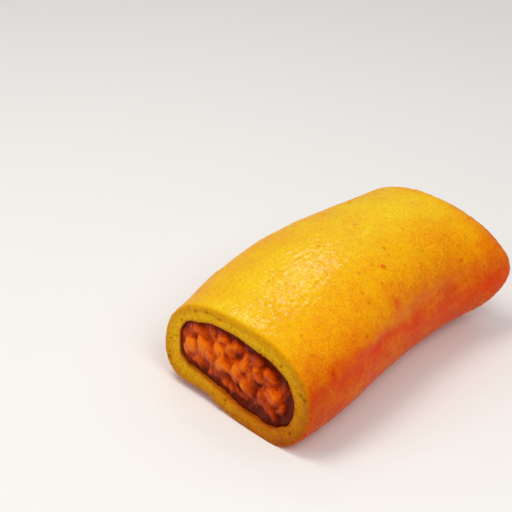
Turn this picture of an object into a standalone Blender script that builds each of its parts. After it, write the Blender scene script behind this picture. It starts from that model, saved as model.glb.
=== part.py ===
# A cut tamale lying flat: a case of steamed corn masa round a core of meat in chile sauce.
# One end of the roll is cut off, so both layers show there; the other end is closed.
# Lengths are in millimetres up to the moment a mesh is made, which is in metres.
# While it is built, y runs from the cut (0) to the closed end; the last step centres the roll on the origin.

import math

import bmesh
import bpy
import numpy as np

MM = 0.001

# The roll. The half widths and heights are at six places, evenly spaced from the cut to the closed end.
LENGTH = 100.0
LEFT = (30.5, 35.1, 37.7, 37.5, 34.3, 33.4)
RIGHT = (33.9, 32.4, 28.4, 24.7, 23.8, 28.9)
HEIGHT = (30.5, 34.2, 37.5, 39.1, 39.9, 39.7)
WAIST = 0.44  # height of the widest line, as a share of the height
SQUARE_TOP = 2.4  # 2 is an ellipse, more is squarer
SQUARE_BOTTOM = 2.65
SIDE_LEAN = 0.047  # how far the section leans to the right for each millimetre up
SETTLE = 0.8  # how much of the round underside is pressed flat

# The closed end.
END_DEPTH = 8.4  # length over which it rounds off
END_SQUARE_WIDE = 3.0  # how squarely it rounds off seen from above, and from the side
END_SQUARE_TALL = 2.08
END_LEFT_LOSS = 13.4  # how much narrower the very end is, on each side
END_RIGHT_LOSS = 2.6
END_TALL = 0.33  # what is left of the height at the very end
END_DOME = 1.2
CORNER_START = 0.66  # share of the length from which the right corner curls up
CORNER_LIFT = 3.25
CORNER_PINCH = 0.24  # and how much thinner it gets there

# The cut end.
CUT_BACK = 8.3  # degrees that the cut leans back
CUT_TURN = -2.7  # degrees that the cut is turned sideways
TOE = 0.65  # how far its foot is pressed forward
TOE_TOP = 10.7  # height that this reaches up to
TOE_RUN = 12.0  # and how far along the roll
CUT_ROUND = 1.4  # radius of the cut's outer edge
HOLLOW = 2.95  # the underside is drawn up here, left of the middle
HOLLOW_AT = -10.2
HOLLOW_WIDTH = 10.7
HEEL = 1.8  # and sags to the right of it
HEEL_AT = 21.7
HEEL_WIDTH = 10.0
HOLLOW_RUN = 25.0  # how far both reach along the roll
HOLLOW_TOP = 20.0  # height at which both have faded out

# A soft crease along the right flank, left by the fold of the husk.
CREASE_DEPTH = 0.9
CREASE_ANGLE = 10.0  # degrees up from the widest line
CREASE_WIDTH = 7.0  # degrees
CREASE_RUN = 0.4  # share of the length over which it fades, either way from the middle

# The wall of masa round the filling.
WALLS = (7.65, 6.5, 4.8, 5.25)  # thickness at the left, the right, the top and the underside
WALL_WAVES = ((3, 0.22, 4.58), (7, 0.13, 5.25), (13, 0.14, 3.46))  # count round the core, depth, phase
SHOULDER_DEPTH = 1.65  # how much thinner it is at the upper left
SHOULDER_ANGLE = 159.5  # degrees round from the right over the top
SHOULDER_WIDTH = 21.0
WALL_END = 12.0  # thickness at the closed end
CORE_ROUND = 12.0  # length over which the core rounds off
GAP = 0.35  # between the masa and the filling

# The filling's cut face.
RECESS = 1.6  # how far it is set back at its rim
LUMP_COUNT = 26
LUMP_HEIGHT = (1.0, 2.2)
LUMP_RADIUS = (3.0, 5.5)
LUMP_AREA = ((-20.0, 24.0), (7.0, 23.0))  # across and up
LUMP_SEED = 11

# Mesh fineness.
AROUND = 52
BODY_RINGS = 18
END_RINGS = 8
DOME_RINGS = 3
ROUND_RINGS = 3
CORE_RINGS = 11
CORE_END_RINGS = 5
FACE_RINGS = 8

TURN = np.linspace(0.0, 2.0 * math.pi, AROUND, endpoint=False)


def between(values, place):
    """Value at place, from 0 to 1, on a smooth curve through evenly spaced values."""
    last = len(values) - 1
    at = min(max(place, 0.0), 1.0) * last
    i = min(int(at), last - 1)
    f = at - i
    a, b, c, d = (values[min(max(k, 0), last)] for k in (i - 1, i, i + 1, i + 2))
    return b + 0.5 * f * (c - a + f * (2 * a - 5 * b + 4 * c - d + f * (3 * (b - c) + d - a)))


def fade(value, start, end):
    """Falls smoothly from 1 at start to 0 at end."""
    t = np.clip((value - start) / (end - start), 0.0, 1.0)
    return 1.0 - t * t * (3.0 - 2.0 * t)


def hump(value, centre, width):
    return np.exp(-(((value - centre) / width) ** 2))


def section(y, walls=(0.0, 0.0, 0.0, 0.0), shrink=1.0):
    """Points round the roll at y, set in from its skin by the four walls, then shrunk."""
    place = y / LENGTH
    height = between(HEIGHT, place)
    waist = WAIST * height
    end = min(max((y - LENGTH + END_DEPTH) / END_DEPTH, 0.0), 1.0)
    keep = (1.0 - end**END_SQUARE_WIDE) ** (1.0 / END_SQUARE_WIDE)
    keep_tall = (1.0 - end**END_SQUARE_TALL) ** (1.0 / END_SQUARE_TALL)
    end_tall = END_TALL + (1.0 - END_TALL) * keep_tall

    cos, sin = np.cos(TURN), np.sin(TURN)
    power = 2.0 / np.where(sin > 0.0, SQUARE_TOP, SQUARE_BOTTOM)
    left = between(LEFT, place) - END_LEFT_LOSS * (1.0 - keep) - walls[0]
    right = between(RIGHT, place) - END_RIGHT_LOSS * (1.0 - keep) - walls[1]
    crease = CREASE_DEPTH * hump(place, 0.5, CREASE_RUN)
    right = right - crease * hump(np.degrees(TURN), CREASE_ANGLE, CREASE_WIDTH)
    x = np.sign(cos) * np.abs(cos) ** power * np.where(cos > 0.0, right, left) * shrink
    up = np.where(sin > 0.0, height - waist - walls[2], waist + SETTLE - walls[3])
    z = waist + np.sign(sin) * np.abs(sin) ** power * up * shrink * end_tall
    x = x + SIDE_LEAN * (z - waist)

    curl = max(0.0, (place - CORNER_START) / (1.0 - CORNER_START)) ** 2
    z = z + curl * np.clip(x / right, 0.0, 1.0) * (CORNER_LIFT - CORNER_PINCH * (z - waist))
    low = fade(z, 0.25 * HOLLOW_TOP, HOLLOW_TOP) * math.exp(-((y / HOLLOW_RUN) ** 2))
    z = z + low * (HOLLOW * hump(x, HOLLOW_AT, HOLLOW_WIDTH) - HEEL * hump(x, HEEL_AT, HEEL_WIDTH))

    near = 1.0 - place
    slant = math.tan(math.radians(CUT_TURN)) * x + math.tan(math.radians(CUT_BACK)) * (z - waist)
    toe = TOE * fade(z, 0.0, TOE_TOP) * math.exp(-((y / TOE_RUN) ** 2))
    return np.column_stack([x, y + near * slant - toe, np.maximum(z, 0.0)])


def core(y, gap=0.0):
    """Points round the filling at y, or round its space in the masa when gap is 0."""
    end = min(max((y + gap + WALL_END + CORE_ROUND - LENGTH) / CORE_ROUND, 0.0), 1.0)
    keep = math.sqrt(1.0 - end * end)
    wave = sum(depth * np.sin(count * TURN + phase) for count, depth, phase in WALL_WAVES)
    shoulder = SHOULDER_DEPTH * hump(np.degrees(TURN), SHOULDER_ANGLE, SHOULDER_WIDTH)
    return section(y, [wall + wave - shoulder + gap for wall in WALLS], keep)


def spaced(start, end, count):
    """Count places from start towards end, without end itself."""
    return np.linspace(start, end, count, endpoint=False)


def eased(start, end, count):
    """Places that crowd together towards end, for a rounded end."""
    return start + (end - start) * np.sin(np.linspace(0.0, math.pi / 2.0, count))


def dome(ring, height):
    """Rings that close a ring with a low dome towards +Y, and the dome's top."""
    centre = ring.mean(axis=0)
    rings = []
    for share in spaced(1.0, 0.0, DOME_RINGS + 1)[1:]:
        inner = centre + (ring - centre) * share
        inner[:, 1] += height * (1.0 - share * share)
        rings.append(inner)
    return rings, centre + np.array([0.0, height, 0.0])


def core_places():
    """Where the rings of the core's wall lie, from the cut to its rounded end."""
    round_start = LENGTH - WALL_END - CORE_ROUND
    places = list(spaced(0.0, round_start, CORE_RINGS))
    return places + list(eased(round_start, round_start + 0.998 * CORE_ROUND, CORE_END_RINGS))


def masa_rings():
    """The skin from the closed end to the cut, over its rounded edge, and back up the wall of the core."""
    outside = [section(y) for y in eased(LENGTH - END_DEPTH, LENGTH, END_RINGS)[::-1]]
    closing, tip = dome(outside[0], END_DOME)
    outside += [section(y) for y in spaced(LENGTH - END_DEPTH, CUT_ROUND, BODY_RINGS)[1:]]
    for angle in np.linspace(0.0, math.pi / 2.0, ROUND_RINGS + 1):
        inset = CUT_ROUND * (1.0 - math.cos(angle))
        y = CUT_ROUND * (1.0 - math.sin(angle))
        outside.append(section(y, (inset,) * 4))
    inside = [core(y) for y in core_places()]
    cut = (outside[-1] + inside[0]) / 2.0
    return closing[::-1] + outside + [cut] + inside, tip, inside[-1].mean(axis=0)


def lumpy(points):
    """Pushes points of the filling's face out over rounded lumps of meat."""
    rng = np.random.default_rng(LUMP_SEED)
    out = points.copy()
    rise = np.zeros(len(points))
    for _ in range(LUMP_COUNT):
        x, z = (rng.uniform(*span) for span in LUMP_AREA)
        height = rng.uniform(*LUMP_HEIGHT)
        radius = rng.uniform(*LUMP_RADIUS)
        away = np.hypot(points[:, 0] - x, points[:, 2] - z) / radius
        rise = np.maximum(rise, height * np.clip(1.0 - away * away, 0.0, 1.0) ** 1.5)
    out[:, 1] -= rise
    return out


def filling_rings():
    """The core from just behind its cut face to its rounded end, and the lumpy face itself."""
    side = [core(max(RECESS, y - GAP), GAP) for y in core_places()]
    middle = side[0].mean(axis=0)
    face = [lumpy(middle + (side[0] - middle) * share) for share in spaced(1.0, 0.0, FACE_RINGS + 1)[1:]]
    return face[::-1] + side, lumpy(middle[None])[0], side[-1].mean(axis=0)


def loft(name, rings, first, last, shift, colour, roughness, collection):
    """One closed body through rings of points, closed at both ends by a point."""
    bm = bmesh.new()
    layers = [[bm.verts.new((p + shift) * MM) for p in ring] for ring in rings]
    start = bm.verts.new((first + shift) * MM)
    end = bm.verts.new((last + shift) * MM)
    for i in range(AROUND):
        j = (i + 1) % AROUND
        bm.faces.new((start, layers[0][j], layers[0][i]))
        for a, b in zip(layers, layers[1:]):
            bm.faces.new((a[i], a[j], b[j], b[i]))
        bm.faces.new((end, layers[-1][i], layers[-1][j]))
    bmesh.ops.recalc_face_normals(bm, faces=bm.faces)
    mesh = bpy.data.meshes.new(name)
    bm.to_mesh(mesh)
    bm.free()
    mesh.shade_smooth()
    mesh.materials.append(principled(name, colour, roughness))
    piece = bpy.data.objects.new(name, mesh)
    collection.objects.link(piece)
    return piece


def principled(name, colour, roughness):
    material = bpy.data.materials.new(name)
    material.use_nodes = True
    shader = material.node_tree.nodes["Principled BSDF"]
    shader.inputs["Base Color"].default_value = (*colour, 1.0)
    shader.inputs["Roughness"].default_value = roughness
    shader.inputs["Metallic"].default_value = 0.0
    return material


def main():
    for old in list(bpy.data.objects):
        bpy.data.objects.remove(old, do_unlink=True)
    tamale = bpy.data.collections.new("tamale")
    bpy.context.scene.collection.children.link(tamale)

    masa, tip, inner_tip = masa_rings()
    filling, face_middle, filling_tip = filling_rings()
    skin = np.vstack(masa + [tip[None]])
    low, high = skin.min(axis=0), skin.max(axis=0)
    shift = np.array([-(low[0] + high[0]) / 2.0, -(low[1] + high[1]) / 2.0, -low[2]])
    loft("masa", masa, tip, inner_tip, shift, (0.87, 0.42, 0.02), 0.45, tamale)
    loft("filling", filling, face_middle, filling_tip, shift, (0.42, 0.07, 0.01), 0.35, tamale)


main()
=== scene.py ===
import math

import bmesh
import bpy
import numpy as np
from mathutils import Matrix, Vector, noise
from mathutils.kdtree import KDTree


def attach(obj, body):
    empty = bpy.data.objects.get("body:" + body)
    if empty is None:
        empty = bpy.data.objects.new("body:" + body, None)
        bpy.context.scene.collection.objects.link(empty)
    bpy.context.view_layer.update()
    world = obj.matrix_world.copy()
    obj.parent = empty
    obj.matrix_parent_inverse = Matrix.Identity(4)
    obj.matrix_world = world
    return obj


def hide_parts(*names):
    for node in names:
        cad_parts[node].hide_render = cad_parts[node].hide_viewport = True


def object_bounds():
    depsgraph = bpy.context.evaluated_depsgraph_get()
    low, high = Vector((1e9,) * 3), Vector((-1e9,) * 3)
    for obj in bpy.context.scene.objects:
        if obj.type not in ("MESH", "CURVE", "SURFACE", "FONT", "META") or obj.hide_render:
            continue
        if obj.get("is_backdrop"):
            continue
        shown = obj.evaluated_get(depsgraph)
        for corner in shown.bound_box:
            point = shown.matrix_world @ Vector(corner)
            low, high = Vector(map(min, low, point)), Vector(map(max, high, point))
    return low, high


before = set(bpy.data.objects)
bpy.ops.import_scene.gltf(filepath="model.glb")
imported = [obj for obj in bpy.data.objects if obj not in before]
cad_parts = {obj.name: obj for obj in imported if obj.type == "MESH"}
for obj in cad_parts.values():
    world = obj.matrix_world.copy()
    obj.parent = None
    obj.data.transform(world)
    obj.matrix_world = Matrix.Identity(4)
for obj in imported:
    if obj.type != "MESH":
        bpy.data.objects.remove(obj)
cadLow, cadHigh = (list(corner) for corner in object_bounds())
mm = 0.001

# The roll's form in millimetres. Along it, y runs from the cut (0) to the closed end.
roll = {
    "length": 100.0,
    "left": (30.5, 35.1, 37.7, 37.5, 34.3, 33.4),  # half widths, evenly spaced from the cut
    "right": (33.9, 32.4, 28.4, 24.7, 23.8, 28.9),
    "height": (30.5, 34.2, 37.5, 39.1, 39.9, 39.7),
    "waist": 0.44,  # height of the widest line, as a share of the whole
    "squareTop": 2.4,  # 2 is an ellipse, more is squarer
    "squareBottom": 2.65,
    "sideLean": 0.047,  # to the right for each millimetre up
    "settle": 0.8,  # how much of the underside is pressed flat
    "endDepth": 8.4,  # how far back the closed end starts to round over
    "endWide": 3.0,  # how squarely it rounds over seen from above, and from the side
    "endTall": 2.08,
    "endLeftLoss": 13.4,  # how much narrower the very end is, on each side
    "endRightLoss": 2.6,
    "endHeight": 0.33,  # and how tall it still is, as a share
    "endDome": 1.2,  # how far its middle stands out
    "cornerStart": 0.66,  # where along the roll its right side begins to lift
    "cornerLift": 3.25,
    "cornerPinch": 0.24,  # how much thinner it gets for each millimetre up
    "cutBack": 8.3,  # degrees that the cut leans back
    "cutTurn": -2.7,
    "toe": (0.65, 10.7, 12.0),  # its foot pressed forward: how much, how high, how far along
    "cutRound": 1.4,
    "hollow": (2.95, -10.2, 10.7),  # the underside drawn up: how much, where across, how wide
    "heel": (-1.8, 21.7, 10.0),
    "hollowRun": 25.0,
    "hollowTop": 20.0,
    "crease": (0.9, 10.0, 7.0),  # depth, degrees above the widest line, width in degrees
    "creaseRun": 0.4,
    "walls": (7.65, 6.5, 4.8, 5.25),  # of masa at the left, the right, the top and the underside
    "wallWaves": ((3, 0.22, 4.58), (7, 0.13, 5.25), (13, 0.14, 3.46)),  # count round, depth, phase
    "shoulder": (1.65, 159.5, 21.0),  # thinner at the upper left: how much, at what turn, how wide
    "wallEnd": 12.0,  # of masa beyond the filling
    "coreRound": 12.0,  # length over which the filling rounds off
}


def hexColour(code):
    channels = [int(code[i:i + 2], 16) / 255 for i in (1, 3, 5)]
    return [c / 12.92 if c <= 0.04045 else ((c + 0.055) / 1.055) ** 2.4 for c in channels] + [1.0]


def addNode(tree, kind, *values, out=0, stops=None, **settings):
    # Values fill the sockets in order, or by name from a dictionary; a socket given as a value is linked
    node = tree.nodes.new(kind)
    for name, value in settings.items():
        setattr(node, name, value)
    inputs = values[0] if values and isinstance(values[0], dict) else dict(enumerate(values))
    for socket, value in inputs.items():
        if isinstance(value, bpy.types.NodeSocket):
            tree.links.new(value, node.inputs[socket])
        elif value is not None:
            node.inputs[socket].default_value = value
    for i, (at, code) in enumerate(stops or ()):
        elements = node.color_ramp.elements
        element = elements[i] if i < 2 else elements.new(at)
        element.position, element.color = at, hexColour(code)
    return node.outputs[out] if len(node.outputs) else node


def between(values, place):
    # A smooth curve through evenly spaced values
    last = len(values) - 1
    at = min(max(place, 0.0), 1.0) * last
    i = min(int(at), last - 1)
    f = at - i
    a, b, c, d = (values[min(max(k, 0), last)] for k in (i - 1, i, i + 1, i + 2))
    return b + 0.5 * f * (c - a + f * (2 * a - 5 * b + 4 * c - d + f * (3 * (b - c) + d - a)))


def fade(value, start, end):
    t = np.clip((value - start) / (end - start), 0.0, 1.0)
    return 1.0 - t * t * (3.0 - 2.0 * t)


def hump(value, centre, width):
    return np.exp(-(((value - centre) / width) ** 2))


def leanAt(x, z, waist):
    # How far a level cut across the roll would have to shift to lean and turn like the real one
    turned, back = (math.tan(math.radians(roll[k])) for k in ("cutTurn", "cutBack"))
    return turned * x + back * (z - waist)


def faceLean(x, z):
    return leanAt(x, z, roll["waist"] * roll["height"][0])


def sectionAt(y, turn, walls=(0.0, 0.0, 0.0, 0.0), shrink=1.0):
    # Points round the roll at y, set in by the walls; turn 0 is the right side, a quarter turn the top
    place = y / roll["length"]
    height = between(roll["height"], place)
    waist = roll["waist"] * height
    end = min(max((y - roll["length"] + roll["endDepth"]) / roll["endDepth"], 0.0), 1.0)
    wide, tall = ((1.0 - end ** roll[k]) ** (1.0 / roll[k]) for k in ("endWide", "endTall"))
    cos, sin = np.cos(turn), np.sin(turn)
    power = 2.0 / np.where(sin > 0.0, roll["squareTop"], roll["squareBottom"])
    left = between(roll["left"], place) - roll["endLeftLoss"] * (1.0 - wide) - walls[0]
    right = between(roll["right"], place) - roll["endRightLoss"] * (1.0 - wide) - walls[1]
    depth, angle, width = roll["crease"]
    right = right - depth * hump(place, 0.5, roll["creaseRun"]) * hump(np.degrees(turn), angle, width)
    x = np.sign(cos) * np.abs(cos) ** power * np.where(cos > 0.0, right, left) * shrink
    up = np.where(sin > 0.0, height - waist - walls[2], waist + roll["settle"] - walls[3])
    up = up * shrink * (roll["endHeight"] + (1.0 - roll["endHeight"]) * tall)
    z = waist + np.sign(sin) * np.abs(sin) ** power * up
    x = x + roll["sideLean"] * (z - waist)
    curl = max(0.0, (place - roll["cornerStart"]) / (1.0 - roll["cornerStart"])) ** 2
    lift = roll["cornerLift"] - roll["cornerPinch"] * (z - waist)
    z = z + curl * np.clip(x / right, 0.0, 1.0) * lift
    hollowTop = roll["hollowTop"]
    low = fade(z, 0.25 * hollowTop, hollowTop) * math.exp(-((y / roll["hollowRun"]) ** 2))
    z = z + low * sum(amount * hump(x, at, wide) for amount, at, wide in (roll["hollow"], roll["heel"]))
    forward, top, run = roll["toe"]
    toe = forward * fade(z, 0.0, top) * math.exp(-((y / run) ** 2))
    return np.column_stack([x, y + (1.0 - place) * leanAt(x, z, waist) - toe, np.maximum(z, 0.0)])


def coreAt(y, turn):
    # Points round the hollow that holds the filling
    end = (y + roll["wallEnd"] + roll["coreRound"] - roll["length"]) / roll["coreRound"]
    end = min(max(end, 0.0), 1.0)
    keep = math.sqrt(1.0 - end * end)
    wave = sum(depth * np.sin(count * turn + phase) for count, depth, phase in roll["wallWaves"])
    thinner, at, wide = roll["shoulder"]
    wave = wave - thinner * hump(np.degrees(turn), at, wide)
    return sectionAt(y, turn, [wall + wave for wall in roll["walls"]], keep)


def evenRing(shape, count):
    # Points spaced evenly round a section, and the turn that each belongs to
    dense = np.linspace(0.0, 2.0 * math.pi, 1441)  # every quarter of a degree
    points = shape(dense)
    run = np.concatenate([[0.0], np.cumsum(np.linalg.norm(np.diff(points, axis=0), axis=1))])
    turn = np.interp(np.linspace(0.0, run[-1], count, endpoint=False), run, dense)
    return shape(turn), turn


def rollShift():
    # From the roll's own place to the frame's, whose origin is under the middle of its box
    turn = np.linspace(0.0, 2.0 * math.pi, 720)
    skin = np.vstack([sectionAt(y, turn) for y in np.linspace(0.0, roll["length"], 200)])
    low, high = skin.min(axis=0), skin.max(axis=0)
    high[1] = roll["length"] + roll["endDome"]
    middle = (np.array(cadLow) + np.array(cadHigh)) / 2.0 / mm
    return np.array([middle[0] - (low[0] + high[0]) / 2.0, middle[1] - (low[1] + high[1]) / 2.0, 0.0])


shift = rollShift()


def treeOf(points):
    tree = KDTree(len(points))
    for i, point in enumerate(points):
        tree.insert(point, i)
    tree.balance()
    return tree


def showPiece(mesh, attributes):
    # Takes a mesh in millimetres to its place in the frame
    points = np.empty(len(mesh.vertices) * 3)
    mesh.vertices.foreach_get("co", points)
    mesh.vertices.foreach_set("co", ((points.reshape(-1, 3) + shift) * mm).ravel())
    for key, values in attributes.items():
        values = np.asarray(values, np.float32)
        kind, field = ("FLOAT_VECTOR", "vector") if values.ndim > 1 else ("FLOAT", "value")
        layer = mesh.attributes.new(key, kind, "POINT")
        layer.data.foreach_set(field, values.ravel())
    mesh.update()
    mesh.shade_smooth()
    piece = bpy.data.objects.new(mesh.name, mesh)
    bpy.context.scene.collection.objects.link(piece)
    return piece


def makeFinal(piece):
    # The modifiers' result becomes the piece's own plain mesh
    depsgraph = bpy.context.evaluated_depsgraph_get()
    made = bpy.data.meshes.new_from_object(
        piece.evaluated_get(depsgraph), preserve_all_data_layers=True, depsgraph=depsgraph)
    piece.modifiers.clear()
    piece.data = made
    made.name = piece.name


def newTree(name, inputs):
    tree = bpy.data.node_groups.new(name, "GeometryNodeTree")
    kinds = {int: "NodeSocketInt", float: "NodeSocketFloat", bpy.types.Material: "NodeSocketMaterial"}
    tree.interface.new_socket("Geometry", in_out="INPUT", socket_type="NodeSocketGeometry")
    for key, value in inputs.items():
        tree.interface.new_socket(key, in_out="INPUT", socket_type=kinds[type(value)])
    tree.interface.new_socket("Geometry", in_out="OUTPUT", socket_type="NodeSocketGeometry")
    return tree, tree.nodes.new("NodeGroupInput").outputs


def runTree(piece, tree, inputs):
    modifier = piece.modifiers.new(tree.name, "NODES")
    modifier.node_group = tree
    for item in tree.interface.items_tree:
        if item.in_out == "INPUT" and item.name in inputs:
            modifier[item.identifier] = inputs[item.name]
    makeFinal(piece)


def newMaterial(name):
    material = bpy.data.materials.new(name)
    material.use_nodes = True
    return material, material.node_tree, material.node_tree.nodes["Principled BSDF"]


def finishShader(tree, shader, linked, fixed):
    for socket, value in linked.items():
        tree.links.new(value, shader.inputs[socket])
    for socket, value in fixed.items():
        shader.inputs[socket].default_value = value


masaRoll = {
    "around": 360,
    "ringStep": 0.5,
    "endRings": 32,
    "domeRings": 20,
    "cutRings": 15,
    "insideRings": 12,
    "waveSize": 15.0,  # slow swells of dough spread by hand
    "waveDepth": 0.55,
    "dentSize": 4.5,
    "dentDepth": 0.22,
    "grainSize": 1.5,  # ground corn
    "grainDepth": 0.3,
    "pitSize": 3.1,  # small holes left by steam
    "pitDepth": 0.3,
    "ribSpacing": 2.4,  # faint print of the husk's veins
    "ribDepth": 0.05,
    "crumbSize": 1.8,  # torn crumb on the cut
    "crumbDepth": 0.9,
    "voidSize": 2.1,
    "voidDepth": 0.6,
    "flankShade": (0.8, 22.0, 10.0, 15.0),  # painted shade, a browner right side by the cut: how much, from x, over, along
    "tintSizes": ((11.0, 3.0), (3.2, 3.0), (0.8, 2.0), (0.42, 2.0)),  # size and detail, coarse to fine
    "skinColours": ((0.0, "#FED414"), (1.0, "#E04800"), (0.2, "#FCC200"), (0.45, "#F9A600"),
                    (0.72, "#F07C00")),  # from the pale top to the deep orange sides, with painted shade on the sides
    "crumbColours": ((0.0, "#F2BC08"), (0.95, "#B85A00"), (0.5, "#DC9600")),
    "oilColour": "#E83C00",
    "sauceStain": "#C05A08",
    "cutEdgeShadeColour": "#C89020",
    "grainAndPitShadeColour": "#D88410",
}

# Where chile oil has come through, in millimetres on the roll
oilSeam = {
    "height": (22.4, 22.2, 21.6, 20.9, 18.8, 16.8, 18.8, 21.5),  # of a thin line along the right side
    "strength": (0.45, 0.62, 0.82, 0.84, 0.68, 0.68, 0.82, 0.75),
    "width": 3.0,
    "below": (0.78, 0.76, 0.7, 0.64, 0.6, 0.62, 0.68, 0.68),  # how strong the colour is below the line
    "flush": 13.0,  # and how far down it reaches
    "wobble": ((11.0, 2.6), (5.0, 1.3)),  # size and height of the line's waves
    "blend": (-3.5, 3.0),  # how softly it starts, from below the line to above it
    "reach": (10.0, 18.0),  # how far across from the middle it fades in
    "patch": 7.0,  # size of its stronger and weaker stretches
    "patchy": (0.95, 0.4),  # their mean strength and how much it varies
    "spots": ((15.5, 50.3, 36.5, 1.4, 0.8), (24.8, 45.9, 28.7, 2.4, 0.6), (24.3, 64.5, 21.1, 1.8, 0.55),
              (-31.0, 34.0, 26.0, 3.2, 0.6), (-36.0, 58.0, 17.0, 4.5, 0.7), (-22.0, 78.0, 35.0, 1.8, 0.5),
              (-34.0, 20.0, 12.0, 4.0, 0.5), (6.0, 101.0, 14.0, 3.5, 0.6), (-10.0, 100.0, 20.0, 2.2, 0.5)),
}


def masaRings():
    # Rings from the closed end to the cut, over it and back inside. The last value of each is 0 on the
    # skin, 1 at the cut's outer edge and 2 at the filling.
    size, length = masaRoll, roll["length"]
    rings, turns, alongs, cuts = [], [], [], []

    def addRing(points, turn, along, cut):
        rings.append(points)
        turns.append(turn)
        alongs.append(np.full(size["around"], along))
        cuts.append(np.full(size["around"], cut))

    last, turn = evenRing(lambda t: sectionAt(length, t), size["around"])
    middle = last.mean(axis=0)
    for share in np.linspace(0.0, 1.0, size["domeRings"] + 2)[1:-1]:
        inner = middle + (last - middle) * share
        inner[:, 1] += roll["endDome"] * (1.0 - share * share)
        addRing(inner, turn, 1.0, 0.0)
    endStart = length - roll["endDepth"]
    angles = np.linspace(math.pi / 2, 0.0, size["endRings"])
    places = [endStart + roll["endDepth"] * math.sin(a) for a in angles]
    places += list(np.arange(endStart, roll["cutRound"], -size["ringStep"]))[1:]
    for y in places:
        points, turn = evenRing(lambda t: sectionAt(y, t), size["around"])
        addRing(points, turn, y / length, 0.0)
    for a in np.linspace(0.0, math.pi / 2.0, 6):
        inset = roll["cutRound"] * (1.0 - math.cos(a))
        y = roll["cutRound"] * (1.0 - math.sin(a))
        points, turn = evenRing(lambda t: sectionAt(y, t, (inset,) * 4), size["around"])
        addRing(points, turn, y / length, 0.2 + 0.8 * math.sin(a))
    outer = rings[-1]
    inner, _ = evenRing(lambda t: coreAt(0.0, t), size["around"])
    for share in np.linspace(0.0, 1.0, size["cutRings"] + 1)[1:]:
        addRing(outer + (inner - outer) * share, turn, 0.0, 1.0 + share)
    deep = length - roll["wallEnd"]
    for y in [0.4, 0.9, 1.6, 2.5, 3.7, 5.5] + list(np.linspace(8.0, deep - 0.03, size["insideRings"])):
        points, turn = evenRing(lambda t: coreAt(y, t), size["around"])
        addRing(points, turn, 0.0, 2.0)
    tips = [middle + [0.0, roll["endDome"], 0.0], rings[-1].mean(axis=0)]
    points = np.vstack(rings + [tips])
    turn, along, cut = (np.concatenate(values) for values in (turns, alongs, cuts))
    return points, np.append(turn, (0.0, 0.0)), np.append(along, (1.0, 0.0)), np.append(cut, (0.0, 1.0))


def ringFaces(rings, around):
    # Closed rings, each joined to the next, with a fan to a tip at either end
    faces = []
    for ring in range(rings - 1):
        a, b = ring * around, (ring + 1) * around
        faces += [(a + i, a + (i + 1) % around, b + (i + 1) % around, b + i) for i in range(around)]
    last, tip = (rings - 1) * around, rings * around
    faces += [(tip, (i + 1) % around, i) for i in range(around)]
    faces += [(tip + 1, last + i, last + (i + 1) % around) for i in range(around)]
    return faces


# How deep the skin's orange is, 0 to 1, by degrees round from the right side over the top; this is the
# masa's own orange together with painted shade, which keeps the top pale and darkens the sides
skinWarmthAndShade = {
    "degrees": (0, 12, 28, 50, 70, 90, 110, 130, 150, 180, 230, 300, 340, 360),
    "depth": (0.9, 0.84, 0.62, 0.44, 0.34, 0.13, 0.15, 0.3, 0.44, 0.64, 0.8, 0.85, 0.95, 0.9),
    "end": 0.6,  # how much deeper at the closed end
}


def warmthAndShadeOf(turn, along):
    sides = np.interp(np.degrees(turn) % 360.0, skinWarmthAndShade["degrees"], skinWarmthAndShade["depth"])
    ends = skinWarmthAndShade["end"] * np.clip((along - 0.85) / 0.15, 0.0, 1.0) ** 1.5
    return sides + ends * (1.0 - sides)


# On the cut, painted shade: the masa is yellow at the upper left and browner towards the underside and the
# right
cutFace = {
    "brown": 0.62,  # painted shade at the foot of the cut, 0 to 1
    "brownTop": 34.0,  # it fades by 1 over this height
    "right": 0.42,  # how much browner the right side is, as painted shade
    "rightEdge": 32.0,
    "seep": 0.55,  # how far chile sauce has soaked into the masa
}


def crumbShadeOf(points):
    x, _, z = points.T
    sides = cutFace["right"] * np.clip(x / cutFace["rightEdge"], -0.3, 1.0)
    return np.clip(cutFace["brown"] - z / cutFace["brownTop"] + sides, 0.0, 1.0)


def oilOf(points):
    x, y, z = points.T
    place = np.clip(y / roll["length"], 0.0, 1.0)
    height, strength, below = (
        np.array([between(oilSeam[k], p) for p in place]) for k in ("height", "strength", "below"))
    places = [Vector(p) for p in points]
    for size, rise in oilSeam["wobble"]:
        height = height + rise * np.array([noise.noise(p / size) for p in places])
    mean, swing = oilSeam["patchy"]
    patch = mean + swing * np.array([noise.noise(-p / oilSeam["patch"]) for p in places])
    line = strength * hump(z, height, oilSeam["width"])
    flush = below * fade(height - z, 0.0, oilSeam["flush"]) * fade(z - height, *oilSeam["blend"])
    inner, outer = oilSeam["reach"]
    total = np.maximum(line, flush) * patch * fade(-x, -outer, -inner)
    for sx, sy, sz, radius, amount in oilSeam["spots"]:
        reach = np.linalg.norm(points - (sx, sy, sz), axis=1)
        total = np.maximum(total, amount * hump(reach, 0.0, radius))
    return total


def seepOf(points, cut):
    # How much sauce each point has taken up from the filling
    core, _ = evenRing(lambda t: coreAt(0.0, t), masaRoll["around"])
    tree = treeOf(core * (1.0, 0.0, 1.0))
    reach = np.full(len(points), 9.0)  # too far for any sauce
    for i in np.nonzero(cut > 0.9)[0]:
        reach[i] = tree.find(points[i] * (1.0, 0.0, 1.0))[2]
    return np.exp(-reach / cutFace["seep"])


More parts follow.
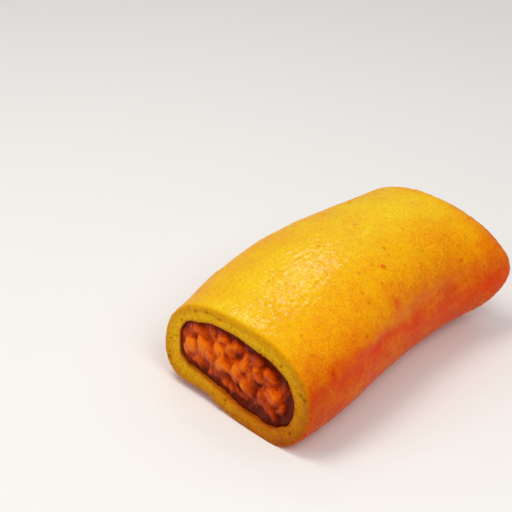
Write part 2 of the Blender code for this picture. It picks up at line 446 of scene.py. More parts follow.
def masaRelief(inputs):
    tree, given = newTree("masaRelief", inputs)
    maths = "ShaderNodeMath"
    raggedBy = 1.3 * mm  # how uneven the holes' edges are
    freeAbove = 1.2 * mm  # height over which the relief sets in
    cut, crumbly, ribRun = (
        addNode(tree, "GeometryNodeInputNamedAttribute", key, data_type="FLOAT")
        for key in ("cut", "crumbly", "ribRun"))
    skin = addNode(tree, maths, 1.0, cut, operation="SUBTRACT")
    scale = {k: addNode(tree, maths, 1.0 / mm, given[k], operation="DIVIDE")
             for k in inputs if k.endswith("Size")}
    waves = addNode(tree, "ShaderNodeTexNoise", {"Scale": scale["waveSize"], "Detail": 1.0})
    dents = addNode(tree, "ShaderNodeTexNoise", {"Scale": scale["dentSize"], "Detail": 2.0})
    crumb = addNode(tree, "ShaderNodeTexNoise", {"Scale": scale["crumbSize"], "Detail": 3.0})
    grain = addNode(tree, "ShaderNodeTexVoronoi", {"Scale": scale["grainSize"]}, feature="SMOOTH_F1")
    ribs = addNode(tree, maths, ribRun, given["ribSpacing"], operation="DIVIDE")
    ribs = addNode(tree, maths, ribs, 2.0 * math.pi, operation="MULTIPLY")
    ribs = addNode(tree, maths, ribs, operation="SINE")
    faint = addNode(tree, maths, waves, skin, operation="MULTIPLY")
    ribs = addNode(tree, maths, ribs, faint, operation="MULTIPLY")
    crumb = addNode(tree, maths, addNode(tree, maths, crumb, 0.5, operation="SUBTRACT"), crumbly,
                    operation="MULTIPLY")
    terms = [(addNode(tree, maths, waves, 0.5, operation="SUBTRACT"), "waveDepth"),
             (addNode(tree, maths, dents, 0.5, operation="SUBTRACT"), "dentDepth"),
             (addNode(tree, maths, 0.5, grain, operation="SUBTRACT"), "grainDepth"),
             (crumb, "crumbDepth"), (ribs, "ribDepth")]
    holes = []
    shake = addNode(tree, "ShaderNodeTexNoise", {"Scale": scale["grainSize"], "Detail": 2.0}, out="Color")
    shake = addNode(tree, "ShaderNodeVectorMath", {0: shake, "Scale": raggedBy}, operation="SCALE")
    ragged = addNode(tree, "ShaderNodeVectorMath", addNode(tree, "GeometryNodeInputPosition"), shake)
    # Each kind's spacing, radius in its cell, share of the cells that have one, where it is and its depth
    for size, radius, share, where, depth in (("pitSize", 0.26, 0.2, skin, "pitDepth"),
                                              ("voidSize", 0.34, 0.35, crumbly, "voidDepth")):
        cells = addNode(tree, "ShaderNodeTexVoronoi", {"Vector": ragged, "Scale": scale[size]},
                        out="Distance")
        pick = addNode(tree, "FunctionNodeSeparateColor", cells.node.outputs["Color"])
        pick = addNode(tree, maths, pick, share, operation="LESS_THAN")
        hole = addNode(tree, "ShaderNodeMapRange",
                       {"Value": cells, "From Min": radius, "From Max": 0.4 * radius},
                       interpolation_type="SMOOTHSTEP")
        hole = addNode(tree, maths, hole, pick, operation="MULTIPLY")
        hole = addNode(tree, maths, hole, where, operation="MULTIPLY")
        holes.append(hole)
        terms.append((addNode(tree, maths, hole, -1.0, operation="MULTIPLY"), depth))
    total = 0.0
    for field, depth in terms:
        total = addNode(tree, maths, field, given[depth], total, operation="MULTIPLY_ADD")
    # The underside that the roll rests on stays flat
    place = addNode(tree, "GeometryNodeInputPosition")
    height = addNode(tree, "ShaderNodeSeparateXYZ", place, out=2)
    free = addNode(tree, maths, height, freeAbove, operation="DIVIDE", use_clamp=True)
    rise = addNode(tree, maths, total, mm, operation="MULTIPLY")
    rise = addNode(tree, maths, rise, free, operation="MULTIPLY")
    outward = addNode(tree, "GeometryNodeInputNormal")
    offset = addNode(tree, "ShaderNodeVectorMath", {0: outward, "Scale": rise}, operation="SCALE")
    # The pits and voids, which the material darkens as painted shade
    dark = addNode(tree, maths, *holes, operation="ADD")
    stored = addNode(tree, "GeometryNodeStoreNamedAttribute",
                     {"Geometry": given["Geometry"], "Name": "hole", "Value": dark}, data_type="FLOAT")
    moved = addNode(tree, "GeometryNodeSetPosition", {"Geometry": stored, "Offset": offset})
    place = addNode(tree, "GeometryNodeInputPosition")
    x, y, z = addNode(tree, "ShaderNodeSeparateXYZ", place).node.outputs
    z = addNode(tree, maths, z, 0.0, operation="MAXIMUM")
    grounded = addNode(tree, "GeometryNodeSetPosition",
                       {"Geometry": moved, "Position": addNode(tree, "ShaderNodeCombineXYZ", x, y, z)})
    real = addNode(tree, "GeometryNodeRealizeInstances", grounded)
    dressed = addNode(tree, "GeometryNodeSetMaterial", {"Geometry": real, "Material": given["material"]})
    addNode(tree, "NodeGroupOutput", dressed)
    return tree


# Steamed corn masa made with lard: fine-grained, moist and faintly translucent, with a thin film of fat
def steamedMasa():
    material, tree, shader = newMaterial("steamedMasa")
    maths = "ShaderNodeMath"
    place = addNode(tree, "ShaderNodeTexCoord", out="Object")
    warmthAndShade, crumbShade, oil, cut, seep, cutEdgeShade, hole = (
        addNode(tree, "ShaderNodeAttribute", attribute_name=key, out="Fac")
        for key in ("warmthAndShade", "crumbShade", "oil", "cut", "seep", "cutEdgeShade", "hole"))
    cloud, mottle, grain, fine = (
        addNode(tree, "ShaderNodeTexNoise", {"Vector": place, "Scale": 1.0 / (size * mm), "Detail": detail})
        for size, detail in masaRoll["tintSizes"])
    drift = addNode(tree, "ShaderNodeMapRange", {"Value": cloud, "To Min": -0.22, "To Max": 0.22})
    patches = addNode(tree, "ShaderNodeMapRange", {"Value": mottle, "To Min": -0.15, "To Max": 0.15})
    drift = addNode(tree, maths, drift, patches, operation="ADD")
    speckle = addNode(tree, maths, addNode(tree, maths, grain, fine, operation="ADD"), -0.34, 0.34,
                      operation="MULTIPLY_ADD")
    drift = addNode(tree, maths, drift, speckle, operation="ADD")
    # The skin's tone carries painted shade on the sides
    tone = addNode(tree, maths, warmthAndShade, drift, operation="ADD", use_clamp=True)
    skin = addNode(tree, "ShaderNodeValToRGB", tone, stops=masaRoll["skinColours"])
    ragged = addNode(tree, "ShaderNodeMapRange", {"Value": mottle, "To Min": -0.45, "To Max": 0.45})
    ragged = addNode(tree, maths, speckle, 0.8, ragged, operation="MULTIPLY_ADD")
    soak = addNode(tree, maths, oil, ragged, operation="ADD")
    soak = addNode(tree, "ShaderNodeMapRange", {"Value": soak, "From Min": 0.1, "From Max": 1.0})
    there = addNode(tree, "ShaderNodeMapRange", {"Value": oil, "From Min": 0.03, "From Max": 0.6})
    soak = addNode(tree, maths, soak, there, operation="MULTIPLY")
    skin = addNode(tree, "ShaderNodeMix", {0: soak, 6: skin, 7: hexColour(masaRoll["oilColour"])},
                   data_type="RGBA", out=2)
    # The cut's tone carries painted shade towards the underside and the right, with random mottle
    crumbTone = addNode(tree, maths, drift, 0.8, crumbShade, operation="MULTIPLY_ADD")
    crumb = addNode(tree, "ShaderNodeValToRGB", crumbTone, stops=masaRoll["crumbColours"])
    crumb = addNode(tree, "ShaderNodeMix", {0: seep, 6: crumb, 7: hexColour(masaRoll["sauceStain"])},
                    data_type="RGBA", out=2)
    onCut = addNode(tree, "ShaderNodeMapRange", {"Value": cut, "From Min": 0.55, "From Max": 1.0})
    colour = addNode(tree, "ShaderNodeMix", {0: onCut, 6: skin, 7: crumb}, data_type="RGBA", out=2)
    # Painted shade darkens the cut's rounded outer edge and the right side beside it
    edge = addNode(tree, maths, cutEdgeShade, 0.5, operation="MULTIPLY")
    colour = addNode(tree, "ShaderNodeMix", {0: edge, 6: colour, 7: hexColour(masaRoll["cutEdgeShadeColour"])},
                     data_type="RGBA", blend_type="MULTIPLY", out=2)
    # Darker in the grain's low spots, the masa's own tone, and in the pits and voids as painted shade
    deep = addNode(tree, "ShaderNodeMapRange",
                   {"Value": grain, "From Min": 0.48, "From Max": 0.28, "To Max": 0.25})
    pitShade = addNode(tree, maths, hole, 0.5, operation="MULTIPLY")
    deep = addNode(tree, maths, deep, pitShade, operation="MAXIMUM")
    colour = addNode(tree, "ShaderNodeMix", {0: deep, 6: colour, 7: hexColour(masaRoll["grainAndPitShadeColour"])},
                     data_type="RGBA", blend_type="MULTIPLY", out=2)
    wet = addNode(tree, "ShaderNodeMapRange", {"Value": cloud, "From Min": 0.35, "From Max": 0.7,
                                               "To Min": 0.44, "To Max": 0.28})
    rough = addNode(tree, maths, wet, addNode(tree, maths, cut, 0.12, operation="MULTIPLY"), operation="ADD")
    rough = addNode(tree, maths, grain, 0.15, rough, operation="MULTIPLY_ADD")
    kernel = addNode(tree, "ShaderNodeTexVoronoi", {"Vector": place, "Scale": 1.0 / (0.75 * mm)})
    relief = addNode(tree, maths, kernel, -0.6, fine, operation="MULTIPLY_ADD")
    bump = addNode(tree, "ShaderNodeBump", {"Height": relief, "Strength": 1.0, "Distance": 0.4 * mm})
    finishShader(tree, shader, {"Base Color": colour, "Roughness": rough, "Normal": bump}, {
        "IOR": 1.45, "Specular IOR Level": 0.1, "Specular Tint": hexColour("#FFC850"),
        "Subsurface Weight": 0.2, "Subsurface Radius": (1.0, 0.45, 0.12), "Subsurface Scale": 2.2 * mm,
        "Coat Weight": 0.12, "Coat Roughness": 0.22, "Coat IOR": 1.4})
    return material


def makeMasa():
    points, turn, along, across = masaRings()
    cut = np.minimum(across, 1.0)
    mesh = bpy.data.meshes.new("masaRoll")
    mesh.from_pydata(points.tolist(), [], ringFaces(len(points) // masaRoll["around"], masaRoll["around"]))
    x, y, z = points.T
    # The skin's own orange, with painted shade on the sides
    warmthAndShade = warmthAndShadeOf(turn, along)
    # Painted shade on the right side beside the cut
    amount, start, over, run = masaRoll["flankShade"]
    shadeAtCut = amount * (across < 1.0) * np.clip((x - start) / over, 0.0, 1.0) * hump(y, 0.0, run)
    piece = showPiece(mesh, {
        "cut": cut,
        "crumbly": cut * fade(across, 1.75, 2.0),
        "warmthAndShade": warmthAndShade,
        "crumbShade": crumbShadeOf(points),
        "oil": oilOf(points) * (1.0 - cut),
        "seep": seepOf(points, cut),
        # Painted shade on the cut's rounded outer edge and on the right side beside the cut
        "cutEdgeShade": np.maximum(hump(across, 0.95, 0.4), shadeAtCut),
        "ribRun": z + 0.9 * np.abs(x),
        "cornGrains": (cut < 0.1) * (z > 3.0) * (1.15 - warmthAndShade),
        "tornCrumbs": (across > 1.2) * (across < 1.95)})
    inputs = {k: v for k, v in masaRoll.items() if k.endswith(("Size", "Depth", "Spacing"))}
    inputs["material"] = steamedMasa()
    runTree(piece, masaRelief(inputs), inputs)
    print("masa roll:", len(piece.data.polygons), "faces")
    return piece


meatFilling = {
    "seed": 23,
    "chunks": 30,
    "chunkRadius": (2.9, 4.4),
    "chunkStretch": (1.0, 1.35),
    "chunkProud": (-0.3, 0.9),  # how far the front of a piece stands out of the cut
    "shreds": 26,
    "shredRadius": (0.9, 1.5),
    "shredStretch": (2.0, 3.4),
    "shredProud": (-0.5, 0.5),
    "bend": 0.3,
    "rimClear": 2.0,  # ring of sauce between the meat and the masa, dark with sauce and painted shade
    "tries": 24,  # places tried for each piece
    "melt": 14,  # how many times the surface is smoothed
    "sauceDepth": 0.7,  # from the cut to the sauce behind the meat
    "sauceClimb": 0.3,  # how much higher the sauce stands against the wall
    "plugDepth": 8.0,  # how far back the fine surface runs
    "voxel": 0.34,
    "fibreSpacing": 0.75,  # of the meat's strands
    "fibreDepth": 0.09,
    "bite": 0.15,  # how far the sauce reaches into the masa, so that no gap shows
    "hollowReach": 2.4,  # how wide a dip counts as a hollow, which painted shade makes darker
    "tintSizes": (2.2, 0.6),  # of the colour's mottle and of its fine grain
    "colours": ((0.0, "#5A1000"), (1.0, "#EC780A"), (0.2, "#7E1E00"), (0.42, "#AA3400"), (0.62, "#CA4800"),
                (0.8, "#DE6204")),  # from sauce and painted shade in the hollows to meat and painted light on the raised tops
}


def isInside(x, z, outline):
    a, b = outline, np.roll(outline, -1, axis=0)
    rise = np.where(b[:, 1] == a[:, 1], 1e-9, b[:, 1] - a[:, 1])
    at = a[:, 0] + (z - a[:, 1]) / rise * (b[:, 0] - a[:, 0])
    return np.sum(((a[:, 1] > z) != (b[:, 1] > z)) & (x < at)) % 2 == 1


def meatPlaces(count, rng):
    # Each piece goes where there is most room, out of a handful of tries
    outline = evenRing(lambda t: coreAt(0.0, t), 240)[0][:, (0, 2)]
    low, high = outline.min(axis=0), outline.max(axis=0)
    chosen = []
    while len(chosen) < count:
        best, mostRoom = None, 0.0
        for _ in range(meatFilling["tries"]):
            x, z = rng.uniform(low, high)
            edge = np.hypot(*(outline - (x, z)).T).min()
            if not isInside(x, z, outline) or edge < meatFilling["rimClear"] + 0.6:
                continue
            room = min([math.hypot(x - c[0], z - c[1]) for c in chosen], default=99.0)
            if room > mostRoom:
                best, mostRoom = (x, z, edge), room
        if best:
            chosen.append(best)
    return chosen


def addMeat(whole, kind, x, z, edge, rng):
    # A bent, lumpy ellipsoid whose fibres run along its axis, which lies nearly flat on the cut
    radius = min(rng.uniform(*meatFilling[kind + "Radius"]), edge - meatFilling["rimClear"] + 1.4)
    stretch, flat = rng.uniform(*meatFilling[kind + "Stretch"]), rng.uniform(0.8, 1.0)
    bend = rng.uniform(-1.0, 1.0) * meatFilling["bend"]
    sunk = 0.9 * math.exp(-(edge - meatFilling["rimClear"]) / 2.0)
    proud = rng.uniform(*meatFilling[kind + "Proud"]) - sunk
    centre = Vector((x, faceLean(x, z) - proud + radius * 0.8, z))
    axis = Vector((rng.normal(), 0.3 * rng.normal(), rng.normal())).normalized()
    side = axis.orthogonal().normalized()
    third = axis.cross(side)
    drift = Vector(rng.uniform(-50.0, 50.0, 3))
    for vert in bmesh.ops.create_icosphere(whole, subdivisions=4, radius=1.0)["verts"]:
        p = vert.co.copy()
        swell = 1.0 + 0.2 * noise.noise(p * 1.2 + drift) + 0.08 * noise.noise(p * 3.1 + drift)
        blunt = math.sqrt(1.0 + p.x ** 2)
        across = side * (p.y * flat * blunt + bend * stretch * p.x * p.x) + third * p.z * blunt
        vert.co = centre + (axis * (p.x * stretch) + across) * radius * swell
    return centre, np.array([axis, side, third]), np.array([stretch, 1.0, 1.0]) * radius, rng.uniform()


def addSauce(whole):
    # Thick sauce that fills the hollow behind the meat and climbs a little at the wall
    count = 160
    turn = np.linspace(0.0, 2.0 * math.pi, count, endpoint=False)
    edge = coreAt(0.0, turn)
    middle = edge.mean(axis=0)
    rings = []
    for share in np.linspace(0.0, 1.0, 32)[1:]:
        ring = middle + (edge - middle) * share
        for point in ring:
            wave = 0.5 * noise.noise(Vector((point[0], 3.7, point[2])) * 0.35)
            climb = meatFilling["sauceClimb"] * share ** 14
            point[1] = faceLean(point[0], point[2]) + meatFilling["sauceDepth"] + wave - climb
        rings.append(ring)
    rings += [coreAt(y, turn) for y in np.linspace(2.2, meatFilling["plugDepth"] + 2.0, 8)]
    verts = [[whole.verts.new(point) for point in ring] for ring in rings]
    front, back = (whole.verts.new(rings[k].mean(axis=0)) for k in (0, -1))
    for i in range(count):
        j = (i + 1) % count
        whole.faces.new((front, verts[0][i], verts[0][j]))
        whole.faces.new((back, verts[-1][j], verts[-1][i]))
        for a, b in zip(verts, verts[1:]):
            whole.faces.new((a[j], a[i], b[i], b[j]))


def pressToWall(whole):
    # Meat that would stick through the masa is pressed flat against it
    core, _ = evenRing(lambda t: coreAt(0.0, t), 480)
    flat = core * (1.0, 0.0, 1.0)
    along = np.roll(flat, -1, axis=0) - np.roll(flat, 1, axis=0)
    outward = np.column_stack([along[:, 2], along[:, 1], -along[:, 0]])
    outward /= np.linalg.norm(outward, axis=1)[:, None]
    tree = treeOf(flat)
    for vert in whole.verts:
        place = Vector((vert.co.x, 0.0, vert.co.z))
        near, i, _ = tree.find(place)
        over = (place - near).dot(Vector(outward[i])) - meatFilling["bite"]
        if over > 0.0:
            vert.co -= Vector(outward[i]) * over


def addCore(whole):
    # The rest of the filling, hidden in the roll, drawn on from the fine surface's open back
    depth = meatFilling["plugDepth"]
    opened = bmesh.ops.bisect_plane(whole, geom=whole.verts[:] + whole.edges[:] + whole.faces[:],
                                    plane_co=(0.0, depth, 0.0), plane_no=(0.0, 1.0, 0.0), clear_outer=True)
    edges = [e for e in opened["geom_cut"] if isinstance(e, bmesh.types.BMEdge)]
    turn = np.linspace(0.0, 2.0 * math.pi, 2880, endpoint=False)
    tree = treeOf(coreAt(depth, turn) * (1.0, 0.0, 1.0))
    turnOf = {v: turn[tree.find((v.co.x, 0.0, v.co.z))[1]] for e in edges for v in e.verts}
    deep = roll["length"] - roll["wallEnd"]
    places = list(np.linspace(depth + 4.0, deep - roll["coreRound"], 8))
    places += [deep - roll["coreRound"] * (1.0 - math.sin(a)) for a in np.linspace(0.25, 1.5, 6)]
    for y in places:
        made = bmesh.ops.extrude_edge_only(whole, edges=edges)["geom"]
        fresh = [v for v in made if isinstance(v, bmesh.types.BMVert)]
        turnOf = {v: next(turnOf[o] for o in (e.other_vert(v) for e in v.link_edges) if o in turnOf)
                  for v in fresh}
        ring = coreAt(y, np.array([turnOf[v] for v in fresh]))
        middle = ring.mean(axis=0)
        for vert, point in zip(fresh, ring):
            vert.co = middle + (point - middle) * 0.985
        edges = [e for e in made if isinstance(e, bmesh.types.BMEdge)]
    bmesh.ops.contextual_create(whole, geom=edges)


def strandsOf(points, meat):
    # For each point its place along and across the fibres of the piece it belongs to, how far it is
    # from that piece as a share of its size, and the piece's own tint
    nearest = np.full(len(points), 99.0)
    strand, tint = np.zeros((len(points), 3)), np.zeros(len(points))
    for i, (centre, axes, size, shade) in enumerate(meat):
        place = (points - np.array(centre)) @ axes.T
        reach = np.linalg.norm(place / size, axis=1)
        closer = reach < nearest
        nearest[closer] = reach[closer]
        strand[closer] = place[closer] * (0.14, 1.0, 1.0) + 7.3 * i
        tint[closer] = shade
    return strand, nearest, tint


def levelOf(points):
    # Painted shade and light: 1 on what stands out from its surroundings, 0 in the hollows and darker along
    # the wall, lighter towards the upper left
    x, y, z = points.T
    proud = faceLean(x, z) - y
    cell, reach, half = 0.5, meatFilling["hollowReach"], 45.0  # a grid of heights over the cut
    column, row = (np.round((v + half) / cell).astype(int) for v in (x, z))
    cells = int(2.0 * half / cell)
    heights = np.full((cells, cells), -9.0)
    np.maximum.at(heights, (column, row), proud)
    known = heights > -4.0
    steps = np.arange(-10, 11) * cell
    bell = np.exp(-((steps / reach) ** 2))
    soft = []
    for grid in (np.where(known, heights, 0.0), known.astype(float)):
        grid = np.apply_along_axis(np.convolve, 0, grid, bell, "same")
        soft.append(np.apply_along_axis(np.convolve, 1, grid, bell, "same"))
    around = (soft[0] / np.maximum(soft[1], 1e-6))[column, row]
    outline, _ = evenRing(lambda t: coreAt(0.0, t), 360)
    wall = treeOf(outline * (1.0, 0.0, 1.0))
    edge = np.array([wall.find((px, 0.0, pz))[2] for px, pz in zip(x, z)])
    paintedLight = 0.01 * (z - 15.0) - 0.007 * x  # painted light towards the upper left, which also narrows the painted shade along the wall
    # Painted shade along the wall
    shade = np.exp(-((edge / (2.2 - 4.0 * paintedLight)) ** 2))
    level = 0.58 + (proud - around) / 2.2 + 0.1 * around + paintedLight - 0.65 * shade
    return np.clip(np.where(proud > -4.0, level, 0.2), 0.0, 1.0)


# Meat stewed in red chile: wet and glossed with orange fat, with dark smooth sauce and painted shade in the
# hollows, and painted light towards the upper left
def meatInChile():
    material, tree, shader = newMaterial("meatInChile")
    maths = "ShaderNodeMath"
    place = addNode(tree, "ShaderNodeTexCoord", out="Object")
    level, tint, meat = (
        addNode(tree, "ShaderNodeAttribute", attribute_name=key, out="Fac")
        for key in ("level", "tint", "meat"))
    strand = addNode(tree, "ShaderNodeAttribute", attribute_name="strand", out="Vector")
    mottle, fine = (
        addNode(tree, "ShaderNodeTexNoise", {"Vector": place, "Scale": 1.0 / (size * mm), "Detail": 3.0})
        for size in meatFilling["tintSizes"])
    fibres = addNode(tree, "ShaderNodeTexNoise", {
        "Vector": strand, "Scale": 1.0 / meatFilling["fibreSpacing"], "Detail": 3.0})
    drift = addNode(tree, "ShaderNodeMapRange", {"Value": mottle, "To Min": -0.3, "To Max": 0.3})
    shade = addNode(tree, "ShaderNodeMapRange", {"Value": tint, "To Min": -0.1, "To Max": 0.1})
    streak = addNode(tree, "ShaderNodeMapRange", {"Value": fibres, "To Min": -0.5, "To Max": 0.5})
    streak = addNode(tree, maths, streak, meat, operation="MULTIPLY")
    # The level carries painted shade in the hollows and along the wall, and painted light at the upper left
    tone = addNode(tree, maths, level, drift, operation="ADD")
    tone = addNode(tree, maths, tone, shade, operation="ADD")
    tone = addNode(tree, maths, tone, streak, operation="ADD", use_clamp=True)
    colour = addNode(tree, "ShaderNodeValToRGB", tone, stops=meatFilling["colours"])
    rough = addNode(tree, "ShaderNodeMapRange", {"Value": fine, "To Min": 0.2, "To Max": 0.45})
    relief = addNode(tree, maths, fine, 0.5, operation="MULTIPLY")
    relief = addNode(tree, maths, fibres, meat, relief, operation="MULTIPLY_ADD")
    bump = addNode(tree, "ShaderNodeBump", {"Height": relief, "Strength": 0.7, "Distance": 0.35 * mm})
    finishShader(tree, shader, {"Base Color": colour, "Roughness": rough, "Normal": bump}, {
        "IOR": 1.42, "Specular IOR Level": 0.15, "Specular Tint": hexColour("#FF9040"),
        "Subsurface Weight": 0.12, "Subsurface Radius": (1.0, 0.25, 0.08), "Subsurface Scale": 1.5 * mm,
        "Coat Weight": 0.06, "Coat Roughness": 0.15, "Coat IOR": 1.35})
    return material


def makeFilling():
    rng = np.random.default_rng(meatFilling["seed"])
    whole = bmesh.new()
    meat = []
    for kind in ("chunk", "shred"):
        meat += [addMeat(whole, kind, *place, rng) for place in meatPlaces(meatFilling[kind + "s"], rng)]
    addSauce(whole)
    mesh = bpy.data.meshes.new("meatUnion")
    whole.to_mesh(mesh)
    whole.free()
    piece = bpy.data.objects.new("meatUnion", mesh)
    bpy.context.scene.collection.objects.link(piece)
    union = piece.modifiers.new("union", "REMESH")
    union.mode, union.voxel_size = "VOXEL", meatFilling["voxel"]
    melt = piece.modifiers.new("melt", "SMOOTH")
    melt.factor, melt.iterations = 0.5, meatFilling["melt"]
    makeFinal(piece)
    whole = bmesh.new()
    whole.from_mesh(piece.data)
    bpy.data.objects.remove(piece)
    pressToWall(whole)
    addCore(whole)
    mesh = bpy.data.meshes.new("meatFilling")
    whole.to_mesh(mesh)
    whole.free()
    points = np.array([v.co for v in mesh.vertices])
    strand, nearest, tint = strandsOf(points, meat)
    onMeat = fade(nearest, 1.0, 1.3)
    fibres = [noise.noise(Vector(p) / meatFilling["fibreSpacing"]) for p in strand]
    normals = np.empty(len(points) * 3)
    mesh.vertices.foreach_get("normal", normals)
    raised = points + normals.reshape(-1, 3) * (meatFilling["fibreDepth"] * onMeat * fibres)[:, None]
    mesh.vertices.foreach_set("co", raised.ravel())
    piece = showPiece(mesh, {"tint": tint, "level": levelOf(points), "meat": onMeat, "strand": strand})
    mesh.materials.append(meatInChile())
    print("filling:", len(mesh.polygons), "faces")
    return piece


# Loose bits, one kind a piece: sizes in millimetres, flatness as a share of the width
bits = {
    "cornGrains": {"perSquareMm": 0.05, "smallest": 0.3, "largest": 0.9, "flatness": 0.5, "seed": 3},
    "tornCrumbs": {"perSquareMm": 0.35, "smallest": 0.5, "largest": 1.2, "flatness": 0.6, "seed": 8},
}


def bitsTree(name, inputs):
    tree, given = newTree(name, inputs)
    maths = "ShaderNodeMath"
    weight = addNode(tree, "GeometryNodeInputNamedAttribute", name, data_type="FLOAT")
    density = addNode(tree, maths, weight, given["perSquareMm"], operation="MULTIPLY")
    density = addNode(tree, maths, density, mm ** -2, operation="MULTIPLY")
    points = addNode(tree, "GeometryNodeDistributePointsOnFaces",
                     {"Mesh": given["Geometry"], "Density": density, "Seed": given["seed"]})
    size = addNode(tree, "FunctionNodeRandomValue", {2: given["smallest"], 3: given["largest"],
                                                     "Seed": given["seed"]}, data_type="FLOAT", out=1)
    narrow = addNode(tree, maths, size, 0.75, operation="MULTIPLY")
    thin = addNode(tree, maths, size, given["flatness"], operation="MULTIPLY")
    scale = addNode(tree, "ShaderNodeCombineXYZ", size, narrow, thin)
    ball = addNode(tree, "GeometryNodeMeshIcoSphere", {"Radius": 0.5 * mm, "Subdivisions": 1})
    lumps = addNode(tree, "ShaderNodeTexNoise", {"Scale": 1.6 / mm, "Detail": 1.0}, out="Color")
    lumps = addNode(tree, "ShaderNodeVectorMath", lumps, (0.5, 0.5, 0.5), operation="SUBTRACT")
    lumps = addNode(tree, "ShaderNodeVectorMath", {0: lumps, "Scale": 0.6 * mm}, operation="SCALE")
    bit = addNode(tree, "GeometryNodeSetPosition", {"Geometry": ball, "Offset": lumps})
    placed = addNode(tree, "GeometryNodeInstanceOnPoints", {
        "Points": points, "Instance": bit, "Rotation": points.node.outputs["Rotation"], "Scale": scale})
    spin = addNode(tree, "FunctionNodeRandomValue", {2: 0.0, 3: 2.0 * math.pi, "Seed": given["seed"]},
                   data_type="FLOAT", out=1)
    turned = addNode(tree, "ShaderNodeCombineXYZ", 0.0, 0.0, spin)
    spun = addNode(tree, "GeometryNodeRotateInstances", {"Instances": placed, "Rotation": turned})
    real = addNode(tree, "GeometryNodeRealizeInstances", spun)
    dressed = addNode(tree, "GeometryNodeSetMaterial", {"Geometry": real, "Material": given["material"]})
    addNode(tree, "NodeGroupOutput", dressed)
    return tree


def makeBits(name, host, material):
    piece = bpy.data.objects.new(name, host.data.copy())
    bpy.context.scene.collection.objects.link(piece)
    inputs = {**bits[name], "material": material}
    runTree(piece, bitsTree(name, inputs), inputs)
    piece.data.shade_smooth()
    print(name + ":", len(piece.data.polygons), "faces")
    return piece


# Coarse bits of ground corn, paler and harder than the dough that holds them
def coarseCorn():
    material, tree, shader = newMaterial("coarseCorn")
    place = addNode(tree, "ShaderNodeTexCoord", out="Object")
    warmthAndShade = addNode(tree, "ShaderNodeAttribute", attribute_name="warmthAndShade", out="Fac")
    mottle = addNode(tree, "ShaderNodeTexNoise", {"Vector": place, "Scale": 0.5 / mm, "Detail": 2.0})
    tone = addNode(tree, "ShaderNodeMath", mottle, 0.5, warmthAndShade, operation="MULTIPLY_ADD")
    colour = addNode(tree, "ShaderNodeValToRGB", tone, stops=(
        (0.2, "#FFE040"), (1.0, "#F08A10"), (0.7, "#FFC41E")))
    rough = addNode(tree, "ShaderNodeMapRange", {"Value": mottle, "To Min": 0.3, "To Max": 0.5})
    finishShader(tree, shader, {"Base Color": colour, "Roughness": rough}, {
        "IOR": 1.45, "Specular IOR Level": 0.3, "Subsurface Weight": 0.15, "Subsurface Scale": 1.0 * mm})
    return material


# The camera, in degrees and millimetres
view = {
    "azimuth": 41.43,  # round from the cut end
    "elevation": 30.06,
    "distance": 489.7,
    "middle": (2.07, 1.26, 15.0),  # the point it stands that far from
    "width": 162.5,  # of the view at that distance
    "offset": (28.2, -15.9),  # how far right of the view's centre and above it the middle lies
    "sensor": 36.0,
}


def makeCamera():
    azimuth, elevation = (math.radians(view[k]) for k in ("azimuth", "elevation"))
    right = Vector((math.cos(azimuth), math.sin(azimuth), 0.0))
    back = Vector((math.sin(azimuth) * math.cos(elevation), -math.cos(azimuth) * math.cos(elevation),
                   math.sin(elevation)))
    middle = Vector(view["middle"])
    eye = middle + back * view["distance"]
    aim = middle - right * view["offset"][0] - back.cross(right) * view["offset"][1]
    data = bpy.data.cameras.new("camera")
    data.sensor_width = view["sensor"]
    data.lens = view["sensor"] * view["distance"] / view["width"]
    data.clip_start = 0.01
    camera = bpy.data.objects.new("camera", data)
    camera.location = eye * mm
    camera.rotation_euler = (aim - eye).to_track_quat("-Z", "Y").to_euler()
    bpy.context.scene.collection.objects.link(camera)
    bpy.context.scene.camera = camera


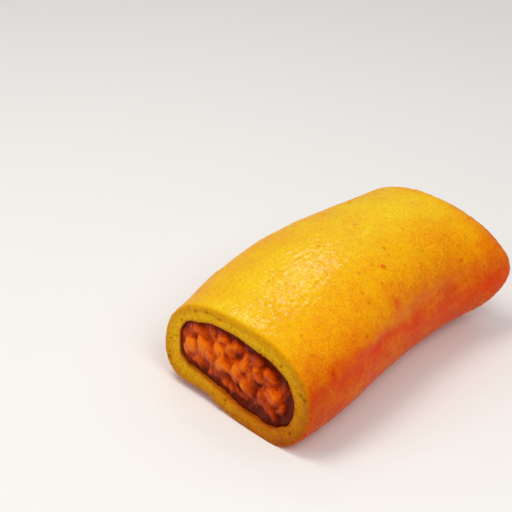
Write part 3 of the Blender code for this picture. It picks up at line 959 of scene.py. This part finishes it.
# Each lamp: name, place in metres, size, power and colour
studio = {
    "sky": 0.45,
    "aim": (0.0, 0.0, 0.015),  # where the lamps point
    "lamps": (("key", (-0.18, -0.12, 0.62), 0.3, 1.55, "#FFFAF2"),
              ("sheen", (-0.43, 0.3, 0.54), 0.1, 1.3, "#FFFFFF"),
              ("front", (-0.3, -0.55, 0.36), 0.3, 0.5, "#FFFFFF"),
              ("fill", (0.46, -0.16, 0.5), 0.4, 1.5, "#FFFFFF")),
    "mirrored": "sheen",  # the lamp that wet surfaces mirror, while the others light them
    "floor": "#F3F2F0",
    "floorReach": 3.0,
}


def makeStudio():
    bpy.context.scene.view_settings.view_transform = "Standard"
    world = bpy.data.worlds.new("studio")
    world.use_nodes = True
    world.node_tree.nodes["Background"].inputs["Color"].default_value = hexColour("#FFFFFF")
    world.node_tree.nodes["Background"].inputs["Strength"].default_value = studio["sky"]
    bpy.context.scene.world = world
    for name, place, size, power, colour in studio["lamps"]:
        data = bpy.data.lights.new(name, "AREA")
        data.shape, data.size, data.energy, data.color = "DISK", size, power, hexColour(colour)[:3]
        lamp = bpy.data.objects.new(name, data)
        lamp.location = place
        lamp.visible_glossy = name == studio["mirrored"]
        lamp.visible_diffuse = not lamp.visible_glossy
        lamp.rotation_euler = (Vector(studio["aim"]) - Vector(place)).to_track_quat("-Z", "Y").to_euler()
        bpy.context.scene.collection.objects.link(lamp)
    reach = studio["floorReach"]
    mesh = bpy.data.meshes.new("floor")
    corners = [(-reach, -reach, 0), (reach, -reach, 0), (reach, reach, 0), (-reach, reach, 0)]
    mesh.from_pydata(corners, [], [(0, 1, 2, 3)])
    floor = bpy.data.objects.new("floor", mesh)
    bpy.context.scene.collection.objects.link(floor)
    material, tree, shader = newMaterial("paleFloor")
    finishShader(tree, shader, {}, {"Base Color": hexColour(studio["floor"]), "Roughness": 0.7})
    mesh.materials.append(material)
    floor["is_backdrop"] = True
    print("studio ready")


masa = makeMasa()
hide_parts("masa")
filling = makeFilling()
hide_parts("filling")
grains = makeBits("cornGrains", masa, coarseCorn())
crumbs = makeBits("tornCrumbs", masa, masa.data.materials[0])
for piece, slotName in ((masa, "masa"), (grains, "masa"), (crumbs, "masa"), (filling, "filling")):
    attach(piece, "root")
makeCamera()
makeStudio()
